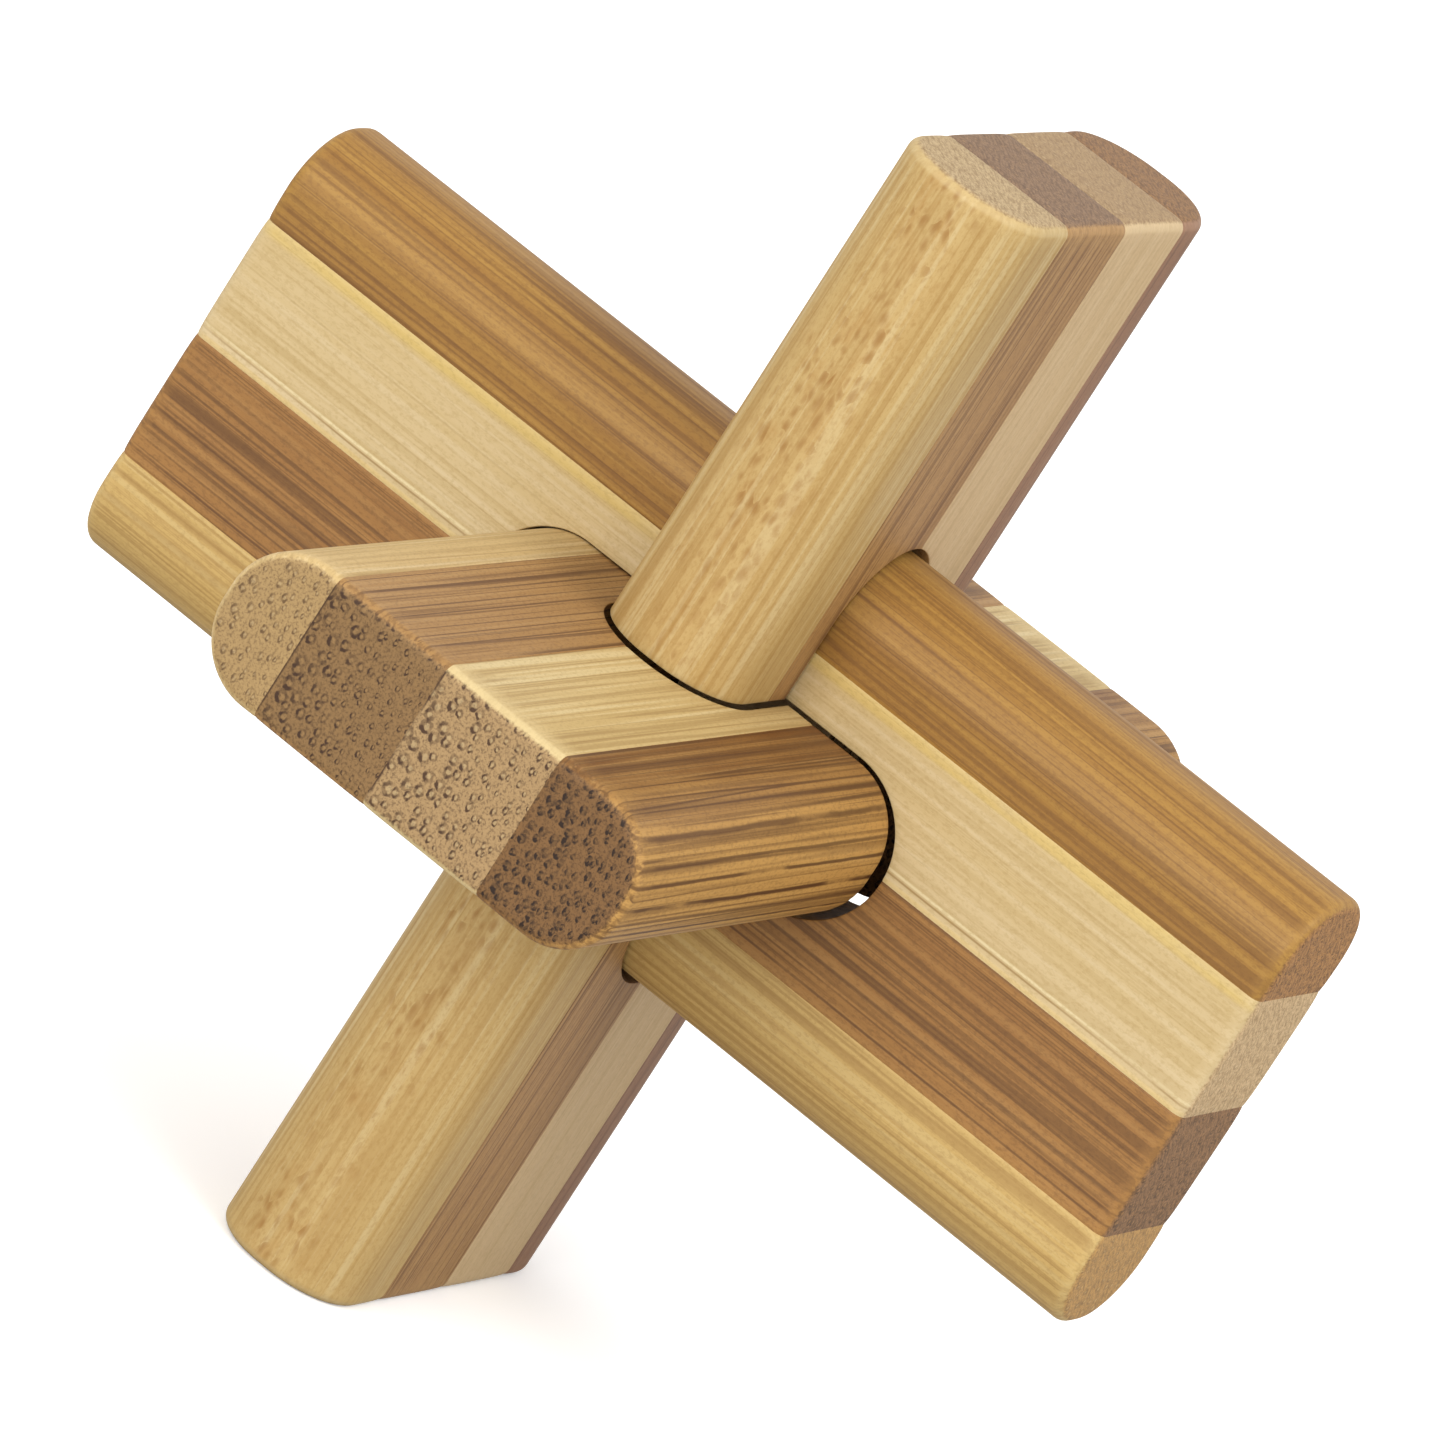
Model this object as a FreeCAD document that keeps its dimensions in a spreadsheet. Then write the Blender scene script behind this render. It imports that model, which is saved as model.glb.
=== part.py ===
import FreeCAD, Part
import math
import os
import Sketcher
from FreeCAD import Placement, Rotation, Vector

# Three-board burr puzzle. Three equal boards, each glued up from four bamboo strips, cross at right
# angles: each board has a slot that the next one passes through.
# Frame: origin at the middle of the puzzle. The plain board runs along X, the key board along Y and
# the third board along Z. -Y is the front.
# Every board is drawn lying flat: length along X, width along Y, thickness along Z.

os.makedirs("parts", exist_ok=True)
doc = FreeCAD.newDocument("three_board_burr")

# ---- driving dimensions, in millimetres ------------------------------------------------------

sizes = {
    "board_length": 60.0,
    "board_width": 23.5,
    "board_thickness": 7.6,
    "edge_flat": 0.7,  # what the rounding leaves flat in the middle of a long edge
    "end_easing": 0.55,  # sanded radius around both ends of a board
    "slot_side_gap": 0.25,  # between a slot and each face of the board inside it
    "slot_end_gap": 0.45,  # between a slot and each edge of the board inside it
    "key_lift": 0.18,  # how far above the middle of its slot the key board rests
    # glue lines: the middle one is measured from the middle of the board's width
    "plain_middle_line": 0.16,
    "plain_second_strip": 6.44,
    "plain_third_strip": 6.66,
    "key_middle_line": 1.08,
    "key_second_strip": 6.43,
    "key_third_strip": 6.65,
    "cross_middle_line": 0.59,
    "cross_second_strip": 6.56,
    "cross_third_strip": 6.43,
}

sheet = doc.addObject("Spreadsheet::Sheet", "Sizes")
for row, (alias, value) in enumerate(sizes.items(), start=1):
    sheet.set("A%d" % row, alias.replace("_", " "))
    sheet.set("B%d" % row, str(value))
    sheet.setAlias("B%d" % row, alias)
doc.recompute()

# the same formulas are used wherever a slot or an opening is cut
slot_width = "(Sizes.board_thickness + 2 * Sizes.slot_side_gap)"
slot_length = "(Sizes.board_width + 2 * Sizes.slot_end_gap)"


# ---- sketches --------------------------------------------------------------------------------


def flat_sketch(body, name):
    """An empty sketch on the body's own XY plane."""
    plane = next(item for item in body.Origin.OriginFeatures if item.Role == "XY_Plane")
    sketch = body.newObject("Sketcher::SketchObject", name)
    sketch.AttachmentSupport = [(plane, "")]
    sketch.MapMode = "FlatFace"
    return sketch


def drive(sketch, constraint, name, formula):
    """Adds a dimension to a sketch and binds it to the spreadsheet."""
    index = sketch.addConstraint(constraint)
    sketch.renameConstraint(index, name)
    sketch.setExpression("Constraints." + name, formula)


def draw_outline(sketch):
    """A rectangle as long and as wide as a board, centred on the origin."""
    half_length = sizes["board_length"] / 2
    half_width = sizes["board_width"] / 2
    corners = [
        Vector(-half_length, -half_width, 0),
        Vector(half_length, -half_width, 0),
        Vector(half_length, half_width, 0),
        Vector(-half_length, half_width, 0),
    ]
    for side in range(4):
        sketch.addGeometry(Part.LineSegment(corners[side], corners[(side + 1) % 4]), False)
    for side in range(4):
        sketch.addConstraint(Sketcher.Constraint("Coincident", side, 2, (side + 1) % 4, 1))
    for side in (0, 2):
        sketch.addConstraint(Sketcher.Constraint("Horizontal", side))
    for side in (1, 3):
        sketch.addConstraint(Sketcher.Constraint("Vertical", side))
    sketch.addConstraint(Sketcher.Constraint("Symmetric", 0, 1, 2, 1, -1, 1))
    length = Sketcher.Constraint("DistanceX", 0, 1, 0, 2, 2 * half_length)
    width = Sketcher.Constraint("DistanceY", 1, 1, 1, 2, 2 * half_width)
    drive(sketch, length, "length", "Sizes.board_length")
    drive(sketch, width, "width", "Sizes.board_width")


def draw_slot(sketch):
    """A slot with round ends, along the sketch's X axis, as a cutter of the slot's width leaves it."""
    radius = sizes["board_thickness"] / 2 + sizes["slot_side_gap"]
    reach = sizes["board_width"] / 2 + sizes["slot_end_gap"] - radius
    quarter = math.pi / 2
    left_circle = Part.Circle(Vector(-reach, 0, 0), Vector(0, 0, 1), radius)
    right_circle = Part.Circle(Vector(reach, 0, 0), Vector(0, 0, 1), radius)
    left = sketch.addGeometry(Part.ArcOfCircle(left_circle, quarter, 3 * quarter), False)
    right = sketch.addGeometry(Part.ArcOfCircle(right_circle, -quarter, quarter), False)
    upper_line = Part.LineSegment(Vector(-reach, radius, 0), Vector(reach, radius, 0))
    lower_line = Part.LineSegment(Vector(-reach, -radius, 0), Vector(reach, -radius, 0))
    upper = sketch.addGeometry(upper_line, False)
    lower = sketch.addGeometry(lower_line, False)
    sketch.addConstraint(Sketcher.Constraint("Tangent", left, 1, upper, 1))
    sketch.addConstraint(Sketcher.Constraint("Tangent", left, 2, lower, 1))
    sketch.addConstraint(Sketcher.Constraint("Tangent", right, 2, upper, 2))
    sketch.addConstraint(Sketcher.Constraint("Tangent", right, 1, lower, 2))
    sketch.addConstraint(Sketcher.Constraint("Horizontal", upper))
    sketch.addConstraint(Sketcher.Constraint("PointOnObject", left, 3, -1))
    sketch.addConstraint(Sketcher.Constraint("Symmetric", left, 3, right, 3, -1, 1))
    run = Sketcher.Constraint("DistanceX", left, 3, right, 3, 2 * reach)
    drive(sketch, Sketcher.Constraint("Radius", right, radius), "radius", slot_width + " / 2")
    drive(sketch, run, "run", slot_length + " - " + slot_width)


def draw_opening(sketch):
    """A rectangle from the middle of the slot out past the board's -Y edge."""
    half_width = sizes["board_thickness"] / 2 + sizes["slot_side_gap"]
    reach = sizes["board_width"]
    corners = [
        Vector(-half_width, -reach, 0),
        Vector(half_width, -reach, 0),
        Vector(half_width, 0, 0),
        Vector(-half_width, 0, 0),
    ]
    for side in range(4):
        sketch.addGeometry(Part.LineSegment(corners[side], corners[(side + 1) % 4]), False)
    for side in range(4):
        sketch.addConstraint(Sketcher.Constraint("Coincident", side, 2, (side + 1) % 4, 1))
    sketch.addConstraint(Sketcher.Constraint("Horizontal", 0))
    sketch.addConstraint(Sketcher.Constraint("Vertical", 1))
    sketch.addConstraint(Sketcher.Constraint("Vertical", 3))
    sketch.addConstraint(Sketcher.Constraint("Symmetric", 2, 1, 2, 2, -1, 1))
    width = Sketcher.Constraint("DistanceX", 0, 1, 0, 2, 2 * half_width)
    depth = Sketcher.Constraint("DistanceY", 1, 1, 1, 2, reach)
    drive(sketch, width, "width", slot_width)
    drive(sketch, depth, "reach", "Sizes.board_width")


# ---- boards ----------------------------------------------------------------------------------


def edges_where(feature, wanted):
    """Names of the feature's edges whose middle point passes the test."""
    names = []
    for number, edge in enumerate(feature.Shape.Edges, start=1):
        middle = edge.valueAt((edge.FirstParameter + edge.LastParameter) / 2)
        if wanted(middle):
            names.append("Edge%d" % number)
    return names


def cut_through(body, name, draw):
    """A pocket right through the board, to both sides of its middle plane."""
    before = body.Shape.Volume
    sketch = flat_sketch(body, name + "_sketch")
    draw(sketch)
    pocket = body.newObject("PartDesign::Pocket", name)
    pocket.Profile = sketch
    pocket.SideType = "Symmetric"
    pocket.Length = 2 * sizes["board_thickness"]
    pocket.setExpression("Length", "2 * Sizes.board_thickness")
    doc.recompute()
    if not pocket.Shape.Volume < before:
        raise RuntimeError(name + " removed nothing")
    return pocket


def make_board(name, side_opening):
    """One whole board: a bar with round long edges, eased ends, a slot and perhaps an opening."""
    body = doc.addObject("PartDesign::Body", name)
    sketch = flat_sketch(body, name + "_outline")
    draw_outline(sketch)
    bar = body.newObject("PartDesign::Pad", name + "_bar")
    bar.Profile = sketch
    bar.SideType = "Symmetric"
    bar.Length = sizes["board_thickness"]
    bar.setExpression("Length", "Sizes.board_thickness")
    doc.recompute()

    rounded = body.newObject("PartDesign::Fillet", name + "_long_edges")
    on_corner = lambda point: abs(point.x) < 1e-6 and abs(point.y) > 1e-6
    rounded.Base = (bar, edges_where(bar, on_corner))
    rounded.Radius = (sizes["board_thickness"] - sizes["edge_flat"]) / 2
    rounded.setExpression("Radius", "(Sizes.board_thickness - Sizes.edge_flat) / 2")
    doc.recompute()

    eased = body.newObject("PartDesign::Fillet", name + "_ends")
    on_end = lambda point: abs(point.x) > sizes["board_length"] / 2 - 1e-6
    eased.Base = (rounded, edges_where(rounded, on_end))
    eased.Radius = sizes["end_easing"]
    eased.setExpression("Radius", "Sizes.end_easing")
    doc.recompute()

    cut_through(body, name + "_slot", draw_slot)
    if side_opening:
        cut_through(body, name + "_opening", draw_opening)
    return body


# ---- strips ----------------------------------------------------------------------------------


def strip_formulas(board):
    """Lower side and width of a board's four strips, from its +Y edge to its -Y edge."""
    middle = "Sizes.%s_middle_line" % board
    second = "Sizes.%s_second_strip" % board
    third = "Sizes.%s_third_strip" % board
    beyond = "Sizes.board_width"
    return [
        ("%s + %s" % (middle, second), beyond),
        (middle, second),
        ("%s - %s" % (middle, third), third),
        ("%s - %s - %s" % (middle, third, beyond), beyond),
    ]


# where a piece of a strip starts along the board, and how far it runs
whole = ("-Sizes.board_length", "2 * Sizes.board_length")
minus_half = ("-Sizes.board_length", "Sizes.board_length")
plus_half = ("0 * Sizes.board_length", "Sizes.board_length")


def make_strip(label, board, side_and_width, start_and_run, placement):
    """The part of a board between two glue lines, put where the board lies in the puzzle."""
    side, width = side_and_width
    start, run = start_and_run
    blank = doc.addObject("Part::Box", label + "_blank")
    blank.setExpression("Length", run)
    blank.setExpression("Width", width)
    blank.setExpression("Height", "2 * Sizes.board_thickness")
    blank.setExpression("Placement.Base.x", start)
    blank.setExpression("Placement.Base.y", side)
    blank.setExpression("Placement.Base.z", "-Sizes.board_thickness")
    strip = doc.addObject("Part::Common", label)
    strip.Base = board
    strip.Tool = blank
    strip.Label = label
    strip.Placement = placement
    return strip


# turns a flat board to its place: the three vectors are where its length, width and thickness go
def turned(length_axis, width_axis, thickness_axis):
    matrix = FreeCAD.Matrix(
        length_axis.x, width_axis.x, thickness_axis.x, 0,
        length_axis.y, width_axis.y, thickness_axis.y, 0,
        length_axis.z, width_axis.z, thickness_axis.z, 0,
        0, 0, 0, 1,
    )  # fmt: skip
    return Placement(matrix)


strips = []

# The plain board lies along X with its width upright and has no opening.
plain_board = make_board("plain_board", side_opening=False)
plain_place = turned(Vector(1, 0, 0), Vector(0, 0, 1), Vector(0, -1, 0))
plain_names = ["plain_caramel_strip", "plain_cream_strip", "plain_brown_strip", "plain_golden_strip"]
for label, band in zip(plain_names, strip_formulas("plain")):
    strips.append(make_strip(label, plain_board, band, whole, plain_place))

# The key board lies along Y, flat. Its opening is on the +X side and cuts two strips in half.
key_board = make_board("key_board", side_opening=True)
key_place = turned(Vector(0, 1, 0), Vector(-1, 0, 0), Vector(0, 0, 1))
key_bands = strip_formulas("key")
strips.append(make_strip("key_golden_strip", key_board, key_bands[0], whole, key_place))
strips.append(make_strip("key_brown_strip", key_board, key_bands[1], whole, key_place))
for end, half in (("front", minus_half), ("rear", plus_half)):
    strips.append(make_strip("key_cream_strip_" + end, key_board, key_bands[2], half, key_place))
    strips.append(make_strip("key_caramel_strip_" + end, key_board, key_bands[3], half, key_place))

for strip in strips:
    if strip.Base == key_board:
        strip.setExpression("Placement.Base.z", "Sizes.key_lift")

# The cross board stands along Z. Its opening is on the front side and cuts two strips in half.
cross_board = make_board("cross_board", side_opening=True)
cross_place = turned(Vector(0, 0, 1), Vector(0, 1, 0), Vector(-1, 0, 0))
cross_bands = strip_formulas("cross")
strips.append(make_strip("cross_umber_strip", cross_board, cross_bands[0], whole, cross_place))
strips.append(make_strip("cross_cream_strip", cross_board, cross_bands[1], whole, cross_place))
for end, half in (("lower", minus_half), ("upper", plus_half)):
    strips.append(make_strip("cross_brown_strip_" + end, cross_board, cross_bands[2], half, cross_place))
    strips.append(make_strip("cross_golden_strip_" + end, cross_board, cross_bands[3], half, cross_place))

doc.recompute()

# ---- checks and export -----------------------------------------------------------------------

for item in doc.Objects:
    if "Invalid" in item.State or "Error" in item.State:
        raise RuntimeError(item.Name + " did not build: " + ", ".join(item.State))

for board in (plain_board, key_board, cross_board):
    pieces = [strip for strip in strips if strip.Base == board]
    lost = board.Shape.Volume - sum(strip.Shape.Volume for strip in pieces)
    if abs(lost) > 1e-3:
        raise RuntimeError(board.Name + " and its strips differ in volume")

for strip in strips:
    if strip.Shape.isNull() or not strip.Shape.isValid() or len(strip.Shape.Solids) != 1:
        raise RuntimeError(strip.Label + " is not one sound solid")
    strip.Shape.exportStep("parts/" + strip.Label + ".step")
    print(strip.Label, "%.1f mm3" % strip.Shape.Volume)
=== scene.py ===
import math

import bmesh
import bpy
from mathutils import Matrix, Vector


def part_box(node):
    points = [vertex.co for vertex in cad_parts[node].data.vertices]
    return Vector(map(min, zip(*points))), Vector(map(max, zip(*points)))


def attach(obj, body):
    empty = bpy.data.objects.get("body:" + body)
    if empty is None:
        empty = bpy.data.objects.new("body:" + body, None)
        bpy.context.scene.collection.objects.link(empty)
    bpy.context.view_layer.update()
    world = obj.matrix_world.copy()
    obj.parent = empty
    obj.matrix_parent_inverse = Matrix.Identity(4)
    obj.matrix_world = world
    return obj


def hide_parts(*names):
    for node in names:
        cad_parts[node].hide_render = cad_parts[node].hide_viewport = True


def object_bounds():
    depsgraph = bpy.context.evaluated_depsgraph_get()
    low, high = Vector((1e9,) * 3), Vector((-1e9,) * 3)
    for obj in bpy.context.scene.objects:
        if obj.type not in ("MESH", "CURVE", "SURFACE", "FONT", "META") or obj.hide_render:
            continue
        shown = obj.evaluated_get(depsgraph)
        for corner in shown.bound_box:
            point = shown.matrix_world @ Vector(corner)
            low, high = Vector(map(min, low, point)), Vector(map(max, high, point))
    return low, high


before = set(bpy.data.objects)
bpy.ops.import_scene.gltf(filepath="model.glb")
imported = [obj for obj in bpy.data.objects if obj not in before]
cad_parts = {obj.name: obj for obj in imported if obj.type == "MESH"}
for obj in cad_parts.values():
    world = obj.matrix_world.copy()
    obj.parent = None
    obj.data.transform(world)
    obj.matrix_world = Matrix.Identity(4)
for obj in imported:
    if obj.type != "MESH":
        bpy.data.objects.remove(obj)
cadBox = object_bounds()
print("frame loaded,", len(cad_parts), "strips")

mm = 1000.0  # the frame is in metres, every size below is in millimetres

# the shape that all three boards share
boardShape = {
    "edgeFlat": 0.7,         # left flat in the middle of the rounded long edges
    "edgeRows": 16,          # rows of the mesh round a long edge, and round an end
    "endEasing": 0.55,       # sanded radius round both ends
    "endRows": 7,
    "slotLength": 24.4,
    "slotWidth": 8.1,
    "arrisEasing": 0.07,     # light easing where slots and openings were cut
    "arrisRows": 4,
    "glueGroove": 0.022,     # depth of the fine line along each glue joint
    "glueGrooveWidth": 0.07,
    "glueRows": (0.04, 0.09, 0.17),  # extra rows of the mesh on both sides of a joint
    "closestRows": 0.03,     # rows of the mesh don't come nearer to each other than this,
    "rowMargin": 0.02,       # or to the side of a strip than this
    "endDip": 0.07,          # how far the ends sink at a glue joint
    "endDipWidth": 0.45,
    "wave": 0.016,           # hand sanding leaves the faces slightly uneven
    "waveAlong": 0.31,       # how quickly that changes, in radians per millimetre
    "waveAcross": 0.47,
    "waveSlant": 0.06,
    "waveMargin": 0.2,       # the outermost part of the long edges stays true
    "step": 0.34,            # size of one mesh face
    "fewestSlotRows": 6,
    "wallRows": 18,
    "sharpAngle": 38,        # degrees
}
slotHalf = boardShape["slotWidth"] / 2                  # from the middle of a slot to its side
slotRim = slotHalf + boardShape["arrisEasing"]          # the same with the easing beside it
slotStraight = boardShape["slotLength"] / 2 - slotHalf  # half of the slot's straight stretch
tiny = 0.001                                            # sizes closer than this are taken as equal

# along, across and through each board, as axes of the frame
boards = {
    "plain": {"body": "plain_board", "axes": (0, 2, 1)},
    "key": {"body": "key_board", "axes": (1, 0, 2)},
    "cross": {"body": "cross_board", "axes": (2, 1, 0)},
}

for boardName, board in boards.items():
    boxes = [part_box(node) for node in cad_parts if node.startswith(boardName + "_")]
    high = [max(box[1][axis] for box in boxes) * mm for axis in board["axes"]]
    low = [min(box[0][axis] for box in boxes) * mm for axis in board["axes"]]
    board["halfLength"], board["halfWidth"] = high[:2]
    board["halfThickness"] = (high[2] - low[2]) / 2
    board["lift"] = (high[2] + low[2]) / 2  # a board may rest off the middle of its slot
    board["edgeRadius"] = board["halfThickness"] - boardShape["edgeFlat"] / 2
    board["edgeStart"] = board["halfWidth"] - board["edgeRadius"]


def steps(start, end, size):
    # evenly spaced values from start to end, no further apart than size
    count = max(1, math.ceil(abs(end - start) / size - tiny))
    return [start + (end - start) * i / count for i in range(count + 1)]


def flatSteps(low, high, glueLines):
    # closer together next to a glue joint, where the groove is
    values = steps(low, high, boardShape["step"])
    closest, margin = boardShape["closestRows"], boardShape["rowMargin"]
    for line in glueLines:
        for offset in boardShape["glueRows"]:
            for value in (line - offset, line + offset):
                if low + margin < value < high - margin:
                    values = [v for v in values if abs(v - value) > closest or v in (low, high)]
                    values.append(value)
    return sorted(set(values))


def roundedEdge(board, side):
    # stations round one long edge, from the flat face to the outside;
    # a station is (across, height, and the across and upward parts of its normal)
    stations = []
    for i in range(boardShape["edgeRows"] + 1):
        angle = math.pi / 2 * (1 - i / boardShape["edgeRows"])
        outward, upward = side * math.cos(angle), math.sin(angle)
        across = side * board["edgeStart"] + board["edgeRadius"] * outward
        height = boardShape["edgeFlat"] / 2 + board["edgeRadius"] * upward
        stations.append((across, height, outward, upward))
    return stations


def sideStations(board, low, high, glueLines):
    # the stations of the part of a strip that lies on one side of the slot
    turn = board["edgeStart"]
    stations = []
    if low < -turn:
        stations += roundedEdge(board, -1)[:0:-1]
    for across in flatSteps(max(low, -turn), min(high, turn), glueLines):
        stations.append((across, board["halfThickness"], 0.0, 1.0))
    if high > turn:
        stations += roundedEdge(board, 1)[1:]
    return stations


def easingRows(radius, count):
    # (distance from the cut, depth below the long face), from the cut inwards
    rows = []
    for i in range(count, -1, -1):
        angle = math.pi / 2 * i / count
        rows.append((radius * (1 - math.sin(angle)), radius * (1 - math.cos(angle))))
    return rows


endRows = easingRows(boardShape["endEasing"], boardShape["endRows"])
arrisRows = easingRows(boardShape["arrisEasing"], boardShape["arrisRows"])


def toGlue(strip, across):
    # distance to the nearest glue joint, or the board's width where the strip has none
    return min([abs(across - line) for line in strip["glueLines"]] + [strip["board"]["halfWidth"]])


def endDip(strip, across):
    return boardShape["endDip"] * math.exp(-(toGlue(strip, across) / boardShape["endDipWidth"]))


def place(strip, along, station, drop=0.0):
    # a point at this station, sunk by the easing and by the groove of the glue joint
    across, height, outward, upward = station
    near = toGlue(strip, across) / boardShape["glueGrooveWidth"]
    drop += boardShape["glueGroove"] * math.exp(-near ** 2)
    return (along, across - drop * outward, height - drop * upward)


def slotTurn(strip, radius):
    # the two angles between which the strip meets a slot end of this radius
    start = -math.pi / 2 if strip["low"] <= -slotRim else math.asin(strip["low"] / radius)
    end = math.pi / 2 if strip["high"] >= slotRim else math.asin(strip["high"] / radius)
    return start, end


def slotShares(strip):
    # how far round that turn each row of the mesh lies, from 0 to 1
    start, end = slotTurn(strip, slotRim)
    length = (end - start) * slotRim
    count = max(boardShape["fewestSlotRows"], math.ceil(length / boardShape["step"]))
    shares = [i / count for i in range(count + 1)]
    for offset in boardShape["glueRows"]:
        if strip["high"] < slotRim:
            shares.append(1 - offset / length)
        if strip["low"] > -slotRim:
            shares.append(offset / length)
    return sorted(set(round(share, 5) for share in shares))


def slotStations(strip, radius):
    start, end = slotTurn(strip, radius)
    top = strip["board"]["halfThickness"]
    return [(radius * math.sin(start + (end - start) * share), top, 0.0, 1.0) for share in strip["shares"]]


def planStrip(board, low, high, ends, opening):
    # one strip of a board: its width from low to high, the board ends it reaches, the side cut open
    strip = {"board": board, "low": low, "high": high, "ends": ends, "opening": opening}
    glueLines = [v for v in (low, high) if abs(v) < board["halfWidth"] - tiny]
    minus = sideStations(board, low, min(high, -slotRim), glueLines) if low < -slotRim else []
    plus = sideStations(board, max(low, slotRim), high, glueLines) if high > slotRim else []
    strip.update(glueLines=glueLines, minus=minus, plus=plus, stations=minus + plus)
    strip["overSlot"] = low < slotRim and high > -slotRim
    if strip["overSlot"]:
        strip["shares"] = slotShares(strip)
        strip["stations"] = minus[:-1] + slotStations(strip, slotRim) + plus[1:]
    return strip


def armGrid(strip, end):
    # the long face from the board's end to the slot
    halfLength = strip["board"]["halfLength"]
    rows = []
    for back, drop in endRows:
        row = []
        for station in strip["stations"]:
            along = halfLength - back - endDip(strip, station[0])
            row.append(place(strip, end * along, station, drop))
        rows.append(row)
    outer = halfLength - boardShape["endEasing"]
    shares = steps(0, 1, boardShape["step"] / (outer - slotStraight - slotRim))
    for share in shares[1:]:
        row = []
        for station in strip["stations"]:
            across = min(abs(station[0]), slotRim)
            stop = slotStraight + math.sqrt(slotRim * slotRim - across * across)
            start = outer - endDip(strip, station[0]) * (1 - share)
            row.append(place(strip, end * (start + (stop - start) * share), station))
        rows.append(row)
    return rows


def slotEndGrid(strip, end):
    # the eased arris round one end of the slot
    rows = []
    for back, drop in arrisRows:
        radius = slotHalf + back
        row = []
        for station in slotStations(strip, radius):
            reach = slotStraight + math.sqrt(max(0.0, radius * radius - station[0] ** 2))
            row.append(place(strip, end * reach, station, drop))
        rows.append(row)
    return rows


def slotSide(strip, side, back):
    # the station on the side of the slot, or this far back from it
    return (side * (slotHalf + back), strip["board"]["halfThickness"], 0.0, 1.0)


def meetsSlot(side, stations):
    nearest = stations[-1 if side < 0 else 0]
    return abs(nearest[0]) < slotRim + tiny


def openSideGrids(strip, side, stations):
    # on both sides of an opening: the face, and the eased arrises of the opening and the slot
    grids = []
    for end in strip["ends"]:
        alongs = [end * u for u in steps(slotStraight, slotRim, boardShape["step"])]
        grids.append([[place(strip, along, station) for station in stations] for along in alongs])
        openingRows, slotRows = [], []
        for back, drop in arrisRows:
            edge = end * (slotHalf + back)
            corner = slotSide(strip, side, back)
            row = [place(strip, edge, station, drop) for station in stations]
            if meetsSlot(side, stations):
                row[-1 if side < 0 else 0] = place(strip, edge, corner, drop)
                slotRows.append([place(strip, along, corner, drop) for along in alongs[:-1] + [edge]])
            openingRows.append(row)
        grids += [openingRows, slotRows]
    return grids


def closedSideGrids(strip, side, stations):
    # the face beside the slot and the eased arris of the slot
    alongs = steps(-slotStraight, slotStraight, boardShape["step"])
    grids = [[[place(strip, along, station) for station in stations] for along in alongs]]
    if meetsSlot(side, stations):
        rows = []
        for back, drop in arrisRows:
            rows.append([place(strip, along, slotSide(strip, side, back), drop) for along in alongs])
        grids.append(rows)
    return grids


def addGrid(sheet, rows):
    # rows of points, each the same length; every four neighbours make a face
    ids = []
    for row in rows:
        ids.append([])
        for point in row:
            key = tuple(round(c, 4) for c in point)
            if key not in sheet["index"]:
                sheet["index"][key] = len(sheet["points"])
                sheet["points"].append(point)
            ids[-1].append(sheet["index"][key])
    for near, far in zip(ids, ids[1:]):
        for i in range(len(near) - 1):
            face = [near[i], near[i + 1], far[i + 1], far[i]]
            if len(set(face)) == 4:
                sheet["faces"].append(face)


def upperSheet(strip):
    # the upper long face of one strip with everything the cutters left of it
    sheet = {"points": [], "index": {}, "faces": []}
    for end in strip["ends"]:
        addGrid(sheet, armGrid(strip, end))
        if strip["overSlot"]:
            addGrid(sheet, slotEndGrid(strip, end))
    for side, stations in ((-1, strip["minus"]), (1, strip["plus"])):
        if stations:
            sideGrids = openSideGrids if strip["opening"] == side else closedSideGrids
            for grid in sideGrids(strip, side, stations):
                addGrid(sheet, grid)
    return sheet


def closeStrip(sheet):
    # the lower face mirrors the upper one; walls join them at ends, slot, opening and glue joints
    work = bmesh.new()
    upper = [work.verts.new(p) for p in sheet["points"]]
    lower = [work.verts.new((p[0], p[1], -p[2])) for p in sheet["points"]]
    for face in sheet["faces"]:
        work.faces.new([upper[i] for i in face])
        work.faces.new([lower[i] for i in reversed(face)])
    count = boardShape["wallRows"]
    twin = dict(zip(upper, lower))
    rims = [edge for edge in work.edges if edge.is_boundary and edge.verts[0] in twin]
    columns = {}
    for edge in rims:
        for vert in edge.verts:
            if vert not in columns:
                top, bottom = vert.co, twin[vert].co
                middle = [work.verts.new(top.lerp(bottom, i / count)) for i in range(1, count)]
                columns[vert] = [vert] + middle + [twin[vert]]
    for edge in rims:
        left, right = columns[edge.verts[0]], columns[edge.verts[1]]
        for i in range(count):
            work.faces.new((left[i], left[i + 1], right[i + 1], right[i]))
    return work


def sandAndTurn(work, boardName):
    # sand it by hand, then turn it from along, across and through to the frame's axes
    board = boards[boardName]
    along, across, through = board["axes"]
    depth = boardShape["wave"] / board["halfThickness"]
    seed = sum(ord(letter) for letter in boardName)
    for vert in work.verts:
        u, v, w = vert.co
        if abs(v) < board["halfWidth"] - boardShape["waveMargin"]:
            drift = math.sin(u * boardShape["waveAlong"] + seed)
            drift *= math.sin(v * boardShape["waveAcross"] + u * boardShape["waveSlant"] + seed * 2)
            w *= 1 - depth * (0.5 + 0.5 * drift)
        turned = [0.0, 0.0, 0.0]
        turned[along], turned[across], turned[through] = u / mm, v / mm, (w + board["lift"]) / mm
        vert.co = turned


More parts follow.
